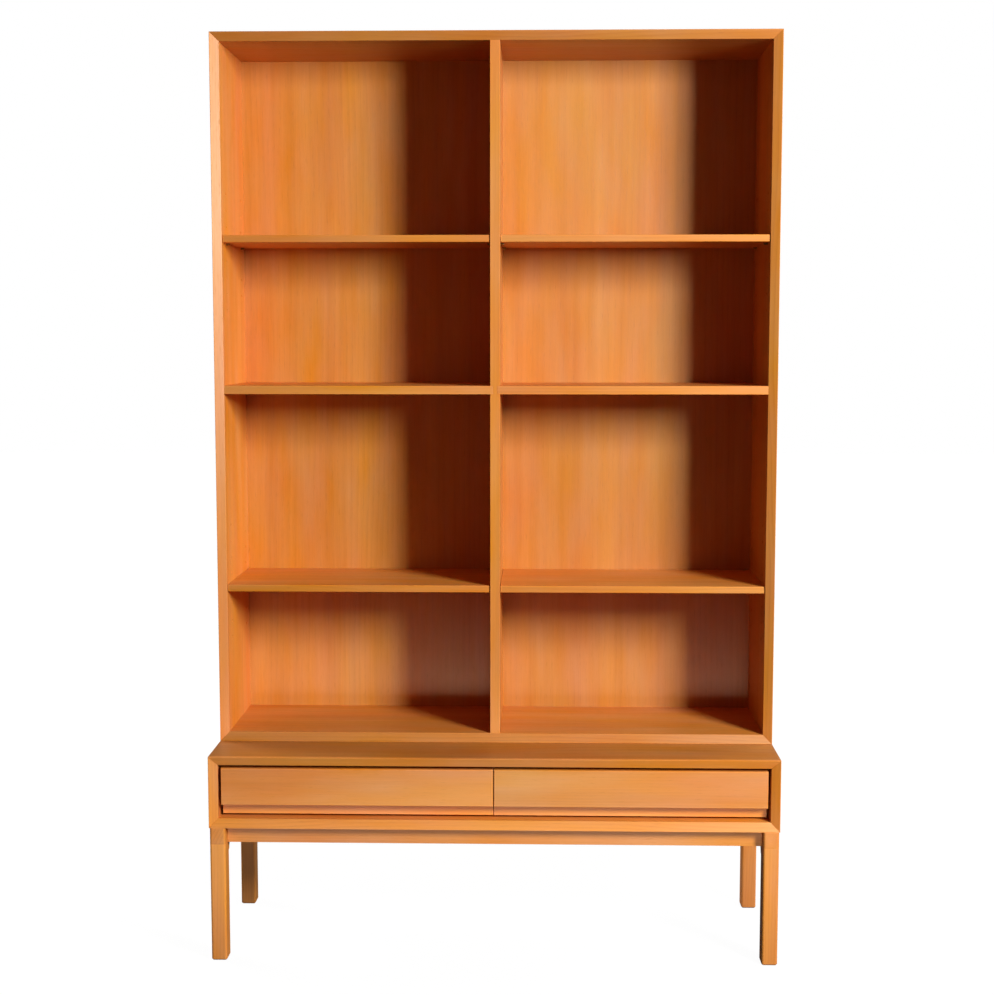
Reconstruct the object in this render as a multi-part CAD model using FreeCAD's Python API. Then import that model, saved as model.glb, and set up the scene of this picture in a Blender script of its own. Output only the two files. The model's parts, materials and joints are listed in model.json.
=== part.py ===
"""Two-part bookcase in oak: an open upper case with shelves on a low base case with two drawers.

Millimetres. X runs to the viewer's right, Y from front to rear and Z up.
The origin is on the floor, under the middle of the base case.
"""
import FreeCAD
import Part
import math
import os

Vector = FreeCAD.Vector

os.makedirs("parts", exist_ok=True)

# Overall sizes of the two cases and the stand
width = 1200.0
base_depth = 420.0
upper_depth = 280.0
stand_height = 287.0
base_case_height = 153.0
upper_case_height = 1515.0

# Carcass panels: mitred at the corners, with a narrow nose and a front edge that slopes back inwards
panel = 19.0
nose = 1.5
bevel_depth = 9.0
rabbet_depth = 8.0
rabbet_width = 9.0
back_thickness = 6.0
housing_depth = 6.0

# Upper case: divider, fixed shelves and loose shelves on pins
divider_thickness = 21.0
fixed_shelf_thickness = 18.0
fixed_shelf_height = 737.0
shelf_thickness = 15.0
shelf_recess = 12.0
shelf_end_gap = 1.0
shelf_rear_gap = 1.0
shelf_edge_radius = 1.5

# Shelf pins and their rows of holes
pin_diameter = 6.0
pin_length = 17.0
pin_hole_depth = 9.0
pin_scoop_depth = 2.0
pin_scoop_overlap = 1.5
hole_count = 8
hole_pitch = 35.5
front_row_inset = 62.0
rear_row_inset = 38.0
lower_row_start = 201.0
upper_row_start = 161.0
lower_shelf_step_count = 3
upper_shelf_step_count = 4

# Base case: partition and drawer runners
partition_thickness = 16.0
partition_clearance = 1.0
runner_height = 14.0
runner_level = 39.0
runner_rear_gap = 2.0

# Drawers: applied front, set-back pull rail and dovetailed box
front_height = 79.0
front_thickness = 22.0
front_edge_chamfer = 1.2
front_top_gap = 7.0
front_middle_gap = 2.0
drawer_side_gap = 6.0
pull_rail_height = 100.0
pull_rail_thickness = 14.0
pull_rail_floor_gap = 5.0
drawer_side_thickness = 12.0
drawer_side_height = 90.0
drawer_side_lift = 2.0
drawer_side_housing = 6.0
drawer_rear_gap = 12.0
drawer_back_thickness = 12.0
drawer_bottom_thickness = 5.0
drawer_bottom_lift = 8.0
drawer_bottom_groove = 5.0
channel_depth = 6.0
channel_front_wall = 20.0
dovetail_count = 3
dovetail_narrow = 5.0
dovetail_wide = 9.0

# Stand: four legs lapped under two side rails, joined by two long rails
leg_width = 33.0
leg_depth = 42.0
leg_arris_radius = 5.0
foot_chamfer = 2.5
stand_inset = 1.5
stand_rear_setback = 28.0
side_rail_height = 37.0
lap_height = 35.0
flare_radius = 20.0
flare_tip = 2.0
long_rail_height = 37.0
long_rail_thickness = 22.0
long_rail_setback = 25.0

# Dowels
leg_dowel_diameter = 10.0
leg_dowel_length = 50.0
leg_dowel_spacing = 20.0
rail_dowel_diameter = 8.0
rail_dowel_length = 34.0
rail_dowel_socket = 10.0
rail_dowel_spacing = 18.0
case_dowel_diameter = 10.0
case_dowel_length = 24.0
case_dowel_side_inset = 60.0
case_dowel_edge_inset = 50.0

# Pins and their holes, and the hidden rods and screws, have flat-sided sections
pin_side_count = 8
rod_side_count = 6

# Screws: countersunk, with the length measured over the head
back_screw_length = 16.0
back_screw_shank = 3.0
back_screw_head = 6.0
back_screw_rows = 4
back_screw_end_inset = 60.0
back_screw_centre_inset = 5.0
base_back_screw_count = 2
runner_screw_length = 18.0
runner_screw_shank = 3.5
runner_screw_head = 7.0
runner_screw_inset = 40.0
front_screw_length = 28.0
front_screw_shank = 4.0
front_screw_head = 8.0
front_screw_side_inset = 90.0
front_screw_drop = 22.0
front_screw_spacing = 36.0
stand_screw_length = 40.0
stand_screw_shank = 5.0
stand_screw_head = 10.0
counterbore_diameter = 12.0
stand_screw_bite = 13.0
side_rail_screw_spacing = 180.0
long_rail_screw_spacing = 420.0
long_rail_screw_count = 3

# Clearances and one overrun for cuts
fit_gap = 0.1
seat_gap = 0.3
run_gap = 0.5
channel_floor_gap = 1.0
overrun = 5.0

# Places worked out from the sizes
half_width = width / 2
inner_half = half_width - panel
base_front = -base_depth / 2
base_rear = base_depth / 2
stand_depth = base_depth - stand_rear_setback
upper_front = base_rear - upper_depth
base_bottom_z = stand_height
base_top_z = base_bottom_z + base_case_height
upper_top_z = base_top_z + upper_case_height
upper_floor_z = base_top_z + panel
ceiling_z = upper_top_z - panel
back_face = base_rear - rabbet_depth
half_divider = divider_thickness / 2
fixed_bottom_z = upper_floor_z + fixed_shelf_height
fixed_top_z = fixed_bottom_z + fixed_shelf_thickness
drawer_floor_z = base_bottom_z + panel
drawer_ceiling_z = base_top_z - panel
half_partition = partition_thickness / 2
pin_radius = pin_diameter / 2

X = Vector(1, 0, 0)
Y = Vector(0, 1, 0)
Z = Vector(0, 0, 1)
sides = {"left": -1, "right": 1}


def save(shape, name):
    """Write one piece, or one group of like pieces, under its node's name."""
    shape.exportStep("parts/" + name + ".step")


def slab(side, near, far, front, rear, bottom, top):
    """A board placed by its distances from the middle plane, on one side of it."""
    left, right = sorted((side * near, side * far))
    return Part.makeBox(right - left, rear - front, top - bottom, Vector(left, front, bottom))


def prism(points, reach):
    """A closed outline pushed along a vector."""
    return Part.Face(Part.makePolygon(list(points) + [points[0]])).extrude(reach)


def ring(centre, direction, diameter, side_count=rod_side_count):
    """A closed polygon round an axis, with two flats that face along the part's own axes."""
    across = Z if abs(direction.z) < 0.5 else X
    other = direction.cross(across)
    reach = diameter / 2 / math.cos(math.pi / side_count)
    points = []
    for corner in range(side_count):
        angle = (corner + 0.5) * 2 * math.pi / side_count
        points.append(centre + across * (reach * math.cos(angle)) + other * (reach * math.sin(angle)))
    return Part.makePolygon(points + [points[0]])


def rod(start, direction, length, diameter, side_count=rod_side_count):
    """A straight rod, whose diameter is measured over its flats."""
    return Part.Face(ring(start, direction, diameter, side_count)).extrude(direction * length)


def screw(start, direction, length, shank, head):
    """A countersunk screw that starts at the middle of its head's face."""
    neck = start + direction * ((head - shank) / 2)
    tip = start + direction * length
    rings = [ring(start, direction, head), ring(neck, direction, shank), ring(tip, direction, shank)]
    return Part.makeLoft(rings, True, True)


def edges_along(shape, axis, test):
    """The straight edges of a shape that run along an axis and whose middle passes a test."""
    found = []
    for edge in shape.Edges:
        first = edge.Vertexes[0].Point
        last = edge.Vertexes[-1].Point
        run = last - first
        if run.Length > 0 and abs(abs(run.dot(axis)) - run.Length) < fit_gap and test((first + last) / 2):
            found.append(edge)
    return found


def carcass_panel(corner, inward, along, length, depth):
    """One of a case's four boards, from its outer front corner, mitred at both ends."""
    section = [
        (0, 0),
        (nose, 0),
        (panel, bevel_depth),
        (panel, depth - rabbet_depth),
        (panel - rabbet_width, depth - rabbet_depth),
        (panel - rabbet_width, depth),
        (0, depth),
    ]
    board = prism([corner + inward * u + Y * v for u, v in section], along * length)
    reach = panel + overrun
    for end, way in ((corner, along), (corner + along * length, -along)):
        start = end - Y * overrun
        triangle = [start, start + inward * reach + way * reach, start + inward * reach - way * overrun]
        board = board.cut(prism(triangle, Y * (depth + overrun * 2)))
    return board


def case_boards(front, depth, bottom, height):
    """The four mitred boards of one case, as a dictionary."""
    top = bottom + height
    boards = {}
    boards["side_left"] = carcass_panel(Vector(-half_width, front, bottom), X, Z, height, depth)
    boards["side_right"] = carcass_panel(Vector(half_width, front, bottom), -X, Z, height, depth)
    boards["top"] = carcass_panel(Vector(-half_width, front, top), -Z, X, width, depth)
    boards["bottom"] = carcass_panel(Vector(-half_width, front, bottom), Z, X, width, depth)
    return boards


def housed_upright(half_thickness, front, bottom, top):
    """A middle board whose ends are let into the boards above and below."""
    return slab(1, -half_thickness, half_thickness, front, back_face, bottom - housing_depth, top + housing_depth)


def row_heights(start):
    return [start + step * hole_pitch for step in range(hole_count)]


def pin_rods(x, direction, reach, diameter, heights):
    """Rods for pins or their holes, in the front and rear rows of one face."""
    rods = []
    for y in (upper_front + front_row_inset, back_face - rear_row_inset):
        for z in heights:
            rods.append(rod(Vector(x, y, z), direction, reach, diameter, pin_side_count))
    return rods


def bay_faces(side):
    """The outer and inner faces of one bay, each with the direction that leads into its wood."""
    return ((side * inner_half, X * side), (side * half_divider, X * -side))


def pins_for(side, height):
    """The four pins that carry one loose shelf."""
    pins = []
    for x, into in bay_faces(side):
        start = x - into.x * (pin_length - pin_hole_depth)
        pins += pin_rods(start, into, pin_length, pin_diameter, [height])
    return pins


def loose_shelf(side, pin_height):
    """A shelf that rests in four shallow scoops on its pins."""
    bottom = pin_height + pin_radius - pin_scoop_depth + seat_gap
    near = half_divider + shelf_end_gap
    far = inner_half - shelf_end_gap
    front = upper_front + shelf_recess
    shelf = slab(side, near, far, front, back_face - shelf_rear_gap, bottom, bottom + shelf_thickness)
    arrises = edges_along(shelf, X, lambda middle: middle.y < front + fit_gap)
    shelf = shelf.makeFillet(shelf_edge_radius, arrises)
    reach = pin_length - pin_hole_depth + pin_scoop_overlap
    for x, into in bay_faces(side):
        start = x - into.x * reach
        scoops = pin_rods(start, into, reach + overrun, pin_diameter + seat_gap * 2, [pin_height])
        shelf = shelf.cut(Part.makeCompound(scoops))
    return shelf


def upper_case():
    """The open case: four boards, divider, two fixed shelves, two backs, loose shelves and pins."""
    boards = case_boards(upper_front, upper_depth, base_top_z, upper_case_height)
    inner_front = upper_front + bevel_depth
    divider = housed_upright(half_divider, inner_front, upper_floor_z, ceiling_z)
    boards["top"] = boards["top"].cut(divider)
    boards["bottom"] = boards["bottom"].cut(divider)
    rows = row_heights(upper_floor_z + lower_row_start) + row_heights(fixed_top_z + upper_row_start)
    pins = []
    fixed_shelves = {}
    for name, side in sides.items():
        near = half_divider - housing_depth
        far = inner_half + housing_depth
        fixed = slab(side, near, far, inner_front, back_face, fixed_bottom_z, fixed_top_z)
        fixed_shelves[name] = fixed
        (outer_x, outward), (inner_x, inward) = bay_faces(side)
        holes = pin_rods(outer_x, outward, pin_hole_depth, pin_diameter + fit_gap * 2, rows)
        boards["side_" + name] = boards["side_" + name].cut(fixed).cut(Part.makeCompound(holes))
        holes = pin_rods(inner_x, inward, pin_hole_depth, pin_diameter + fit_gap * 2, rows)
        divider = divider.cut(fixed).cut(Part.makeCompound(holes))
        lower_pin = upper_floor_z + lower_row_start + lower_shelf_step_count * hole_pitch
        upper_pin = fixed_top_z + upper_row_start + upper_shelf_step_count * hole_pitch
        save(loose_shelf(side, lower_pin), "lower_shelf_" + name)
        save(loose_shelf(side, upper_pin), "upper_shelf_" + name)
        pins += pins_for(side, lower_pin) + pins_for(side, upper_pin)
    save(Part.makeCompound(pins), "shelf_pins")
    held = upper_backs()
    save(divider.cut(held), "upper_divider")
    for name, fixed in fixed_shelves.items():
        save(fixed.cut(held), "fixed_shelf_" + name)
    return {name: board.cut(held) for name, board in boards.items()}


def upper_backs():
    """Two back panels that meet behind the divider, and the screws that hold them."""
    edge = inner_half + rabbet_width
    bottom = upper_floor_z - rabbet_width
    top = ceiling_z + rabbet_width
    rear = back_face + back_thickness
    screws = []
    run = top - bottom - back_screw_end_inset * 2
    levels = [bottom + back_screw_end_inset + run * row / (back_screw_rows - 1) for row in range(back_screw_rows)]
    places = []
    for side in sides.values():
        for z in levels:
            places.append((side * (edge - rabbet_width / 2), z))
            places.append((side * back_screw_centre_inset, z))
        for z in (bottom + rabbet_width / 2, top - rabbet_width / 2):
            places.append((side * edge / 2, z))
    for x, z in places:
        screws.append(screw(Vector(x, rear, z), -Y, back_screw_length, back_screw_shank, back_screw_head))
    held = Part.makeCompound(screws)
    for name, side in sides.items():
        save(slab(side, 0, edge, back_face, rear, bottom, top).cut(held), "upper_back_" + name)
    save(held, "upper_back_screws")
    return held


def base_case():
    """The low case: four boards, partition, back and runners."""
    boards = case_boards(base_front, base_depth, base_bottom_z, base_case_height)
    front = pull_rail_rear() + partition_clearance
    partition = housed_upright(half_partition, front, drawer_floor_z, drawer_ceiling_z)
    boards["top"] = boards["top"].cut(partition)
    boards["bottom"] = boards["bottom"].cut(partition)
    edge = inner_half + rabbet_width
    bottom = drawer_floor_z - rabbet_width
    top = drawer_ceiling_z + rabbet_width
    rear = back_face + back_thickness
    back = slab(1, -edge, edge, back_face, rear, bottom, top)
    screws = []
    for z in (bottom + rabbet_width / 2, top - rabbet_width / 2):
        for step in range(base_back_screw_count):
            x = edge * 2 * ((step + 0.5) / base_back_screw_count - 0.5)
            screws.append(screw(Vector(x, rear, z), -Y, back_screw_length, back_screw_shank, back_screw_head))
    held = Part.makeCompound(screws)
    save(back.cut(held), "base_back")
    save(held, "base_back_screws")
    partition = partition.cut(held)
    boards["top"] = boards["top"].cut(held)
    boards["bottom"] = boards["bottom"].cut(held)
    screws = []
    for name, side in sides.items():
        for place in ("outer", "inner"):
            runner, fixings = drawer_runner(side, place)
            held = Part.makeCompound(fixings)
            save(runner.cut(held), name + "_runner_" + place)
            screws += fixings
    held = Part.makeCompound(screws)
    save(held, "runner_screws")
    save(partition.cut(held), "base_partition")
    for name in sides:
        boards["side_" + name] = boards["side_" + name].cut(held)
    return boards


def pull_rail_rear():
    return base_front + bevel_depth + front_thickness + pull_rail_thickness


def runner_middle():
    return drawer_floor_z + pull_rail_floor_gap + drawer_side_lift + runner_level


def channel_start():
    return pull_rail_rear() + channel_front_wall


def wall_faces(side, place):
    """Where a runner is fixed: the wall's distance from the middle and the way out of it."""
    if place == "outer":
        return inner_half, -1
    return half_partition, 1


def drawer_runner(side, place):
    """A strip that carries the drawer in a groove of its side, with two screws into the wall."""
    wall, out = wall_faces(side, place)
    tip = wall + out * (drawer_side_gap + channel_depth - run_gap)
    middle = runner_middle()
    front = channel_start() + run_gap
    rear = back_face - runner_rear_gap
    runner = slab(side, wall, tip, front, rear, middle - runner_height / 2, middle + runner_height / 2)
    fixings = []
    for y in (front + runner_screw_inset, rear - runner_screw_inset):
        start = Vector(side * tip, y, middle)
        turned = X * (-side * out)
        fixings.append(screw(start, turned, runner_screw_length, runner_screw_shank, runner_screw_head))
    return runner, fixings


def drawer_channel(side, place):
    """The groove that a runner fills, open at the drawer's rear."""
    wall, out = wall_faces(side, place)
    face = wall + out * drawer_side_gap
    middle = runner_middle()
    low = middle - runner_height / 2 - channel_floor_gap
    high = middle + runner_height / 2 + seat_gap
    return slab(side, face - out * overrun, face + out * channel_depth, channel_start(), base_rear, low, high)


def drawer(name, side):
    """One drawer: a front, a pull rail set behind it, two sides, a back, a bottom and four screws."""
    near = front_middle_gap / 2
    far = inner_half - drawer_side_gap
    front = base_front + bevel_depth
    front_top = drawer_ceiling_z - front_top_gap
    face = slab(side, near, far, front, front + front_thickness, front_top - front_height, front_top)
    arrises = [edge for edge in face.Edges if edge.BoundBox.YMax < front + fit_gap]
    face = face.makeChamfer(front_edge_chamfer, arrises)
    rail_front = front + front_thickness
    rail_bottom = drawer_floor_z + pull_rail_floor_gap
    rail = slab(side, near, far, rail_front, pull_rail_rear(), rail_bottom, rail_bottom + pull_rail_height)
    rear = back_face - drawer_rear_gap
    side_bottom = rail_bottom + drawer_side_lift
    side_top = side_bottom + drawer_side_height
    side_front = pull_rail_rear() - drawer_side_housing
    walls = {
        "outer": (far - drawer_side_thickness, far),
        "inner": (half_partition + drawer_side_gap, half_partition + drawer_side_gap + drawer_side_thickness),
    }
    inner_near = walls["inner"][1]
    inner_far = walls["outer"][0]
    bottom_low = side_bottom + drawer_bottom_lift
    bottom_high = bottom_low + drawer_bottom_thickness
    bottom = slab(
        side, inner_near - drawer_bottom_groove, inner_far + drawer_bottom_groove,
        pull_rail_rear() - drawer_bottom_groove, rear, bottom_low, bottom_high,
    )
    back = slab(side, inner_near, inner_far, rear - drawer_back_thickness, rear, bottom_high, side_top)
    back = back.fuse(dovetail_pins(side, walls, rear, bottom_high, side_top)).removeSplitter()
    for place, (low, high) in walls.items():
        channel = drawer_channel(side, place)
        wall = slab(side, low, high, side_front, rear, side_bottom, side_top)
        rail = rail.cut(wall)
        back = back.cut(channel)
        save(wall.cut(bottom).cut(back).cut(channel), name + "_drawer_side_" + place)
    screws = front_screws(side, near, far, front_top)
    held = Part.makeCompound(screws)
    save(face.cut(held), name + "_drawer_front")
    save(rail.cut(bottom).cut(held), name + "_drawer_pull_rail")
    save(back, name + "_drawer_back")
    save(bottom, name + "_drawer_bottom")
    save(held, name + "_drawer_screws")


def dovetail_pins(side, walls, rear, low, high):
    """The pins on the back's two ends, narrow at its rear face and as long as the sides are thick."""
    pins = []
    front = rear - drawer_back_thickness
    step = (high - low) / dovetail_count
    for start, end in walls.values():
        for index in range(dovetail_count):
            middle = low + step * (index + 0.5)
            outline = [
                Vector(side * start, front, middle - dovetail_wide / 2),
                Vector(side * start, front, middle + dovetail_wide / 2),
                Vector(side * start, rear, middle + dovetail_narrow / 2),
                Vector(side * start, rear, middle - dovetail_narrow / 2),
            ]
            pins.append(prism(outline, X * side * (end - start)))
    return pins


def front_screws(side, near, far, front_top):
    """Four screws through the pull rail into the drawer's front."""
    screws = []
    for distance in (near + front_screw_side_inset, far - front_screw_side_inset):
        for drop in (front_screw_drop, front_screw_drop + front_screw_spacing):
            start = Vector(side * distance, pull_rail_rear(), front_top - drop)
            screws.append(screw(start, -Y, front_screw_length, front_screw_shank, front_screw_head))
    return screws


def leg(side, row):
    """A straight leg whose arrises are rounded, those by the rail only up to the rail's flare."""
    far = half_width - stand_inset
    near = far - leg_width
    front, rear = leg_span(row)
    lap_z = stand_height - lap_height
    tip_z = flare_tip_z()
    lower = slab(side, near, far, front, rear, 0, tip_z)
    lower = lower.makeFillet(leg_arris_radius, edges_along(lower, Z, lambda middle: True))
    foot = [edge for edge in lower.Edges if edge.BoundBox.ZMax < fit_gap]
    lower = lower.makeChamfer(foot_chamfer, foot)
    upper = slab(side, near, far, front, rear, tip_z, lap_z)
    outside = front if row == "front" else rear
    upper = upper.makeFillet(
        leg_arris_radius, edges_along(upper, Z, lambda middle: abs(middle.y - outside) < fit_gap)
    )
    return lower.fuse(upper).removeSplitter()


def leg_span(row):
    """Front and rear of a leg in the front or the rear row."""
    if row == "front":
        return base_front, base_front + leg_depth
    stand_rear = base_front + stand_depth
    return stand_rear - leg_depth, stand_rear


def flare_tip_z():
    return stand_height - side_rail_height - flare_radius


def side_rail(side):
    """A rail between two legs, stepped over their tops and flared down against them."""
    far = half_width - stand_inset
    near = far - leg_width
    front = base_front
    rear = base_front + stand_depth
    lap_z = stand_height - lap_height
    low = stand_height - side_rail_height
    tip_z = flare_tip_z()
    inner_front = front + leg_depth
    inner_rear = rear - leg_depth
    bend = flare_radius * (1 - math.sqrt(0.5))
    flare_front = inner_front + flare_tip + flare_radius
    flare_rear = inner_rear - flare_tip - flare_radius

    def at(y, z):
        return Vector(side * near, y, z)

    edges = [
        Part.makePolygon([
            at(flare_rear, low), at(flare_front, low),
        ]),
        Part.Arc(
            at(flare_front, low), at(inner_front + flare_tip + bend, low - bend), at(inner_front + flare_tip, tip_z)
        ).toShape(),
        Part.makePolygon([
            at(inner_front + flare_tip, tip_z), at(inner_front, tip_z), at(inner_front, lap_z),
            at(front, lap_z), at(front, stand_height), at(rear, stand_height), at(rear, lap_z),
            at(inner_rear, lap_z), at(inner_rear, tip_z), at(inner_rear - flare_tip, tip_z),
        ]),
        Part.Arc(
            at(inner_rear - flare_tip, tip_z), at(inner_rear - flare_tip - bend, low - bend), at(flare_rear, low)
        ).toShape(),
    ]
    rail = Part.Face(Part.Wire(edges)).extrude(X * side * leg_width)
    ends = edges_along(rail, Z, lambda middle: middle.y < front + fit_gap or middle.y > rear - fit_gap)
    return rail.makeFillet(leg_arris_radius, ends)


def long_rail_spans():
    """Front and rear of the two long rails, set back alike from the stand's front and rear."""
    front = base_front + long_rail_setback
    rear = base_front + stand_depth - long_rail_setback
    return {"front": (front, front + long_rail_thickness), "rear": (rear - long_rail_thickness, rear)}


def stand(base_bottom):
    """Legs, side rails, long rails, their dowels and the screws up into the base case."""
    inner_face = half_width - stand_inset - leg_width
    centre_x = inner_face + leg_width / 2
    lap_z = stand_height - lap_height
    rail_middle_z = stand_height - long_rail_height / 2
    rails = {}
    for row, (front, rear) in long_rail_spans().items():
        rails["long_rail_" + row] = slab(
            1, -inner_face, inner_face, front, rear, stand_height - long_rail_height, stand_height
        )
    leg_dowels = []
    rail_dowels = []
    leg_sockets = []
    rail_sockets = []
    legs = {}
    for name, side in sides.items():
        rails["side_rail_" + name] = side_rail(side)
        for row in ("front", "rear"):
            legs[row + "_leg_" + name] = leg(side, row)
            middle_y = sum(leg_span(row)) / 2
            for shift in (-leg_dowel_spacing / 2, leg_dowel_spacing / 2):
                start = Vector(side * centre_x, middle_y + shift, lap_z - leg_dowel_length / 2)
                leg_dowels.append(rod(start, Z, leg_dowel_length, leg_dowel_diameter))
                leg_sockets.append(rod(start, Z, leg_dowel_length, leg_dowel_diameter + fit_gap * 2))
            middle_y = sum(long_rail_spans()[row]) / 2
            for shift in (-rail_dowel_spacing / 2, rail_dowel_spacing / 2):
                start = Vector(side * (inner_face + rail_dowel_socket), middle_y, rail_middle_z + shift)
                rail_dowels.append(rod(start, X * -side, rail_dowel_length, rail_dowel_diameter))
                rail_sockets.append(rod(start, X * -side, rail_dowel_length, rail_dowel_diameter + fit_gap * 2))
    screws, bores = stand_screws(centre_x)
    sockets = Part.makeCompound(leg_sockets + rail_sockets + bores + screws)
    for name, shape in legs.items():
        save(shape.cut(sockets), name)
    for name, shape in rails.items():
        save(shape.cut(sockets), name)
    save(Part.makeCompound(leg_dowels), "leg_dowels")
    save(Part.makeCompound(rail_dowels), "rail_dowels")
    save(Part.makeCompound(screws), "stand_screws")
    return base_bottom.cut(Part.makeCompound(screws))


def stand_screws(centre_x):
    """Long screws up through the rails, with the counterbores that sink their heads."""
    places = []
    middle_y = base_front + stand_depth / 2
    for side in sides.values():
        for shift in (-side_rail_screw_spacing / 2, side_rail_screw_spacing / 2):
            places.append((side * centre_x, middle_y + shift, stand_height - side_rail_height))
    for front, rear in long_rail_spans().values():
        for step in range(long_rail_screw_count):
            x = (step - (long_rail_screw_count - 1) / 2) * long_rail_screw_spacing
            places.append((x, (front + rear) / 2, stand_height - long_rail_height))
    screws = []
    bores = []
    head_z = stand_height + stand_screw_bite - stand_screw_length
    for x, y, low in places:
        screws.append(screw(Vector(x, y, head_z), Z, stand_screw_length, stand_screw_shank, stand_screw_head))
        bores.append(rod(Vector(x, y, low - overrun), Z, head_z - low + overrun, counterbore_diameter))
    return screws, bores


def case_dowels():
    """Four loose dowels that locate the upper case on the base case, and their sockets."""
    dowels = []
    sockets = []
    for side in sides.values():
        x = side * (half_width - case_dowel_side_inset)
        for y in (upper_front + case_dowel_edge_inset, base_rear - case_dowel_edge_inset):
            start = Vector(x, y, base_top_z - case_dowel_length / 2)
            dowels.append(rod(start, Z, case_dowel_length, case_dowel_diameter))
            sockets.append(rod(start, Z, case_dowel_length, case_dowel_diameter + fit_gap * 2))
    return Part.makeCompound(dowels), Part.makeCompound(sockets)


def build():
    dowels, sockets = case_dowels()
    save(dowels, "case_dowels")
    upper = upper_case()
    base = base_case()
    upper["bottom"] = upper["bottom"].cut(sockets)
    base["top"] = base["top"].cut(sockets)
    base["bottom"] = stand(base["bottom"])
    for name, shape in upper.items():
        save(shape, "upper_" + name)
    for name, shape in base.items():
        save(shape, "base_" + name)
    for name, side in sides.items():
        drawer(name, side)


build()
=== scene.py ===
"""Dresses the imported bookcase: oak boards with softened arrises, brass pins, screws, studio and camera."""

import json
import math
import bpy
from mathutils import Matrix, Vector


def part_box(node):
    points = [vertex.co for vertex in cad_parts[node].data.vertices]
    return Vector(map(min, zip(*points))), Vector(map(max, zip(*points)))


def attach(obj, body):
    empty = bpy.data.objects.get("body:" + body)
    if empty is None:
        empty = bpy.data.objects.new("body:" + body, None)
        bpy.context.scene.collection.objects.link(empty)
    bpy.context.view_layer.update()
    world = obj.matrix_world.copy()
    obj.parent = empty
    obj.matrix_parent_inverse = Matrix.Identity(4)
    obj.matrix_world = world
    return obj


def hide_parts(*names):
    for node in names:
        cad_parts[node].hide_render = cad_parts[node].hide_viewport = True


bl_info = {
    "name": "Two-part oak bookcase",
    "version": (1, 0, 0),
    "blender": (4, 5, 0),
    "location": "View3D > Sidebar > Bookcase",
    "description": "Finishes the boards, drawers, pins and screws of a two-part oak bookcase",
    "category": "Object",
}

import bmesh
import bpy
from mathutils import Matrix, Vector

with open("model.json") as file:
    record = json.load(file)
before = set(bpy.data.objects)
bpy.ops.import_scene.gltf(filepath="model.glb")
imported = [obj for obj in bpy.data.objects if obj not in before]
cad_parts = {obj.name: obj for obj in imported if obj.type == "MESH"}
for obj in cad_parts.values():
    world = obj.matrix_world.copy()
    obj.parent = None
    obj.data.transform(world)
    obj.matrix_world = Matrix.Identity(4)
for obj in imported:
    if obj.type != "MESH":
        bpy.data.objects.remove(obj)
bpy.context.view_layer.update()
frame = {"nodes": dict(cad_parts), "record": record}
nodes = frame["nodes"]
body_of_node = {
    node: body
    for body, members in frame["record"]["behaviour"]["bodies"].items()
    for node in members
}

# Grain directions of the boards, as the axis that the grain follows
GRAIN_UPRIGHT = "Z"
GRAIN_ACROSS = "X"
GRAIN_DEEP = "Y"

# How the wood's pattern is turned, so that its Z follows the grain
GRAIN_TURNS = {
    GRAIN_UPRIGHT: (0, 0, 0),
    GRAIN_ACROSS: (0, math.pi / 2, 0),
    GRAIN_DEEP: (math.pi / 2, 0, 0),
}

# How far each board's figure is moved, so that no two boards look cut from one place
FIGURE_STEP = (0.37, 0.53, 1.91)

# Painted light and shade of each board: how much lighter or darker its faces, and the band along its front
# edge, are drawn, standing in for the floor's bounce, the low light and the shade in the bays that fall on
# them
PAINTED_LIGHT_TONES = {
    "upper_top": (0.80, 0.85),
    "upper_bottom": (0.98, 0.84),
    "upper_side_left": (1.12, 1.12),
    "upper_side_right": (0.80, 1.0),
    "upper_divider": (0.88, 1.10),
    "upper_back_left": (0.97, 0.97),
    "upper_back_right": (0.86, 0.86),
    "fixed_shelf_left": (1.06, 1.08),
    "fixed_shelf_right": (1.02, 1.04),
    "upper_shelf_left": (1.04, 1.10),
    "upper_shelf_right": (1.0, 1.06),
    "lower_shelf_left": (1.06, 1.12),
    "lower_shelf_right": (1.02, 1.06),
    "base_top": (0.70, 1.14),
    "base_side_left": (1.0, 1.08),
    "base_side_right": (1.0, 1.10),
    "base_bottom": (1.08, 1.05),
    "right_drawer_front": (0.93, 0.93),
    "left_drawer_pull_rail": (1.12, 1.12),
    "right_drawer_pull_rail": (1.06, 1.06),
    "front_leg_left": (1.14, 1.14),
    "front_leg_right": (0.98, 0.98),
    "rear_leg_left": (0.90, 0.90),
    "rear_leg_right": (1.02, 1.02),
}
# A board that the table doesn't list gets no painted light or shade
NO_PAINTED_LIGHT = (1.0, 1.0)

# A slight difference in tone between any two oak boards
TONE_SWING = 0.02
TONE_STEP = 2.4

# What sets the kinds of wood apart, as the values of the wood grain group
WOODS = {
    "oak": {"Ring Spacing": 0.007, "Ring Strength": 0.36, "Pore Strength": 0.34, "Base Roughness": 0.40},
    "veneer": {"Ring Spacing": 0.013, "Ring Strength": 0.20, "Pore Strength": 0.34, "Base Roughness": 0.40},
    "pale": {"Ring Spacing": 0.009, "Ring Strength": 0.30, "Pore Strength": 0.25, "Base Roughness": 0.55},
}

# Noises of the wood's figure: how much each is drawn out along the grain, its scale and its detail
FIGURE_NOISES = {
    "slow": (0.10, 9.0, 2.0),
    "wander": (0.22, 2.6, 3.0),
    "fading": (0.16, 6.5, 2.0),
    "fibre": (0.03, 420.0, 3.0),
    "streak": (0.02, 45.0, 3.0),
    "pore": (0.045, 1100.0, 1.0),
    "blush": (0.3, 8.0, 3.0),
    "bleach": (0.2, 21.0, 3.0),
}
NOISE_MIDDLE = 0.5

# Between which values a figure noise shows
SHOWN_RANGES = {
    "slow": (0.3, 0.72),
    "fading": (0.38, 0.66),
    "fibre": (0.3, 0.75),
    "streak": (0.30, 0.76),
    "pore": (0.60, 0.72),
}

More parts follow.
